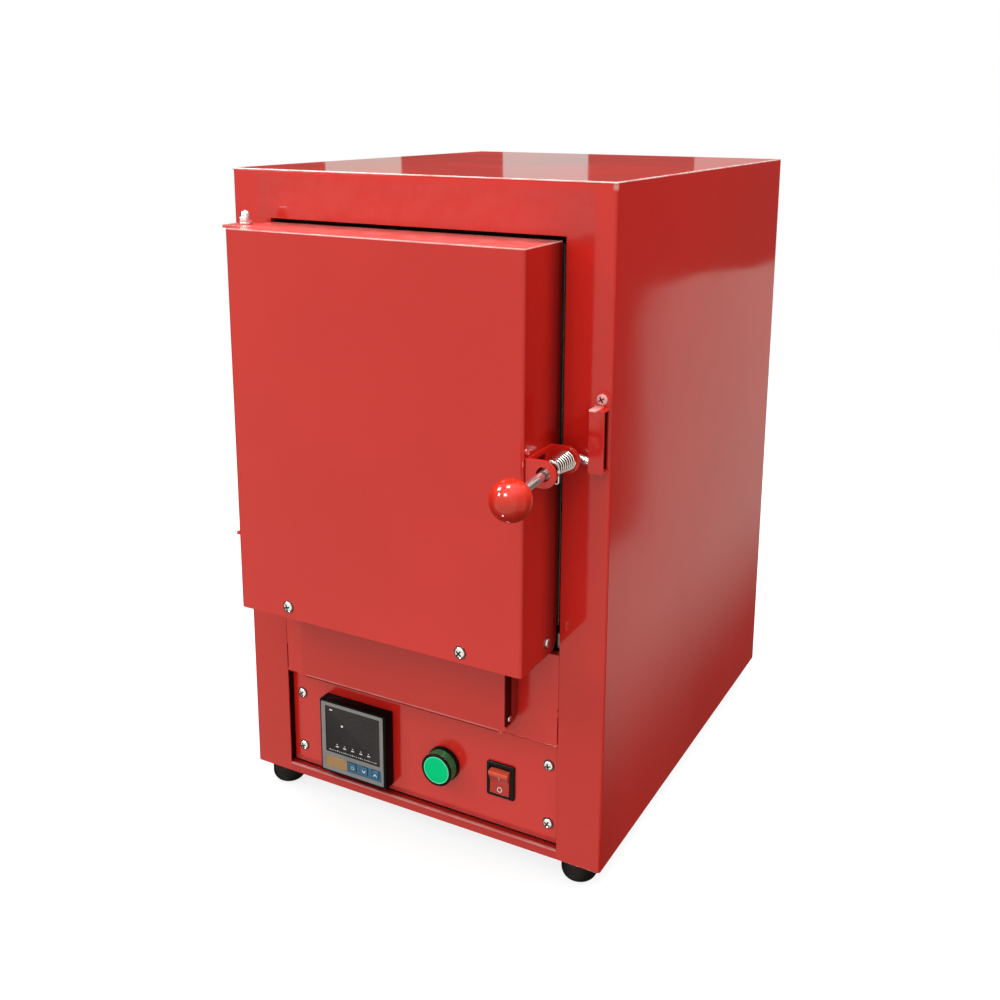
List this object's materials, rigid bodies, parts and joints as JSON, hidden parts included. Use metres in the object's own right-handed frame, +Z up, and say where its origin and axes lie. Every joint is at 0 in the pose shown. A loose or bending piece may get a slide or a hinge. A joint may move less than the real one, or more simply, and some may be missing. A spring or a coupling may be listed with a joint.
{
  "type": "jewellery kiln",
  "caption": "Bench-top front-loading kiln: sheet cabinet with a brick chamber, side-hung door with a sprung hook latch, and a control bay with controller, lamp and rocker switch.",
  "frame": {"origin": "middle of the footprint's box, on the surface the feet stand on", "axes": "+Z up, -Y out of the front where the door is, +X to the right seen from the front"},
  "size_m": [0.355, 0.575, 0.579],
  "materials": {
    "red_paint": "glossy powder coat",
    "zinc_sheet": "zinc plated sheet",
    "plated_steel": "bright plated",
    "black_rubber": "matt",
    "firebrick": "porous insulating brick",
    "kiln_ceramic": "smooth matt ceramic",
    "element_wire": "oxidised resistance wire",
    "black_plastic": "fine textured",
    "smoked_window": "dark glossy filter",
    "key_film": "satin polyester film",
    "lamp_green": "translucent, ribbed",
    "rocker_red": "glossy",
    "brass_tab": "plain",
    "relay_plastic": "plain",
    "bare_aluminium": "extruded",
    "terminal_ceramic": "matt",
    "dark_steel": "heat darkened sheet",
    "fibre": "soft fibre board",
    "gasket_fibre": "woven fibre",
    "spring_steel": "plain wire",
    "ball_red": "polished"
  },
  "bodies": {
    "cabinet": {"case_wrap": "red_paint", "top_panel": "red_paint", "rear_panel": "red_paint", "base_panel": "zinc_sheet", "mid_panel": "red_paint", "lower_cover": "red_paint", "control_panel": "red_paint", "compartment_shelf": "zinc_sheet", "foot_front_left": "black_rubber", "foot_front_right": "black_rubber", "foot_rear_left": "black_rubber", "foot_rear_right": "black_rubber", "foot_screws": "plated_steel", "floor_brick": "firebrick", "roof_brick": "firebrick", "left_brick": "firebrick", "right_brick": "firebrick", "back_brick": "firebrick", "hearth_tile": "kiln_ceramic", "element_left": "element_wire", "element_right": "element_wire", "element_bushes": "kiln_ceramic", "thermocouple": "kiln_ceramic", "hinge_brackets": "red_paint", "hinge_pins": "plated_steel", "hinge_nuts": "plated_steel", "strike": "red_paint", "case_screws": "plated_steel", "cover_screws": "plated_steel", "rear_screws": "plated_steel", "controller_housing": "black_plastic", "controller_bezel": "black_plastic", "controller_window": "smoked_window", "key_strip": "key_film", "pilot_body": "black_plastic", "pilot_lens": "lamp_green", "pilot_nut": "black_plastic", "switch_housing": "black_plastic", "switch_tabs": "brass_tab", "relay": "relay_plastic", "heat_sink": "bare_aluminium", "terminal_block": "terminal_ceramic", "cable_gland": "black_plastic"},
    "door": {"door_shell": "red_paint", "door_liner": "dark_steel", "door_plug": "fibre", "door_gasket": "gasket_fibre", "hinge_leaves": "red_paint", "door_screws": "plated_steel", "latch_bracket": "red_paint", "latch_spring": "spring_steel"},
    "latch_slider": {"latch_washer": "plated_steel"},
    "latch_handle": {"latch_rod": "plated_steel", "latch_ball": "ball_red"},
    "rocker": {"switch_rocker": "rocker_red"},
    "set_key": {"key_set": "key_film"},
    "down_key": {"key_down": "key_film"},
    "up_key": {"key_up": "key_film"}
  },
  "joints": [
    {"name": "door_swing", "type": "hinge", "parent": "cabinet", "child": "door", "pos_m": [-0.144, -0.1895, 0.399], "axis": [0, 0, -1], "range_deg": [0, 120]},
    {"name": "latch_push", "type": "slide", "parent": "door", "child": "latch_slider", "axis": [0, 1, 0], "range_m": [0, 0.003], "stiffness_N_per_m": 1200, "springref_m": -0.004, "deforming": ["latch_spring"]},
    {"name": "latch_turn", "type": "hinge", "parent": "latch_slider", "child": "latch_handle", "pos_m": [0.1495, -0.195, 0.373], "axis": [0, -1, 0], "range_deg": [0, 95], "stiffness_Nm_per_rad": 0.12, "springref_deg": -20.05},
    {"name": "rocker_tilt", "type": "hinge", "parent": "cabinet", "child": "rocker", "pos_m": [0.0824, -0.1535, 0.072], "axis": [-1, 0, 0], "range_deg": [0, 18]},
    {"name": "set_key_press", "type": "slide", "parent": "cabinet", "child": "set_key", "axis": [0, 1, 0], "range_m": [0, 0.0008], "stiffness_N_per_m": 1500, "springref_m": -0.0004},
    {"name": "down_key_press", "type": "slide", "parent": "cabinet", "child": "down_key", "axis": [0, 1, 0], "range_m": [0, 0.0008], "stiffness_N_per_m": 1500, "springref_m": -0.0004},
    {"name": "up_key_press", "type": "slide", "parent": "cabinet", "child": "up_key", "axis": [0, 1, 0], "range_m": [0, 0.0008], "stiffness_N_per_m": 1500, "springref_m": -0.0004}
  ]
}
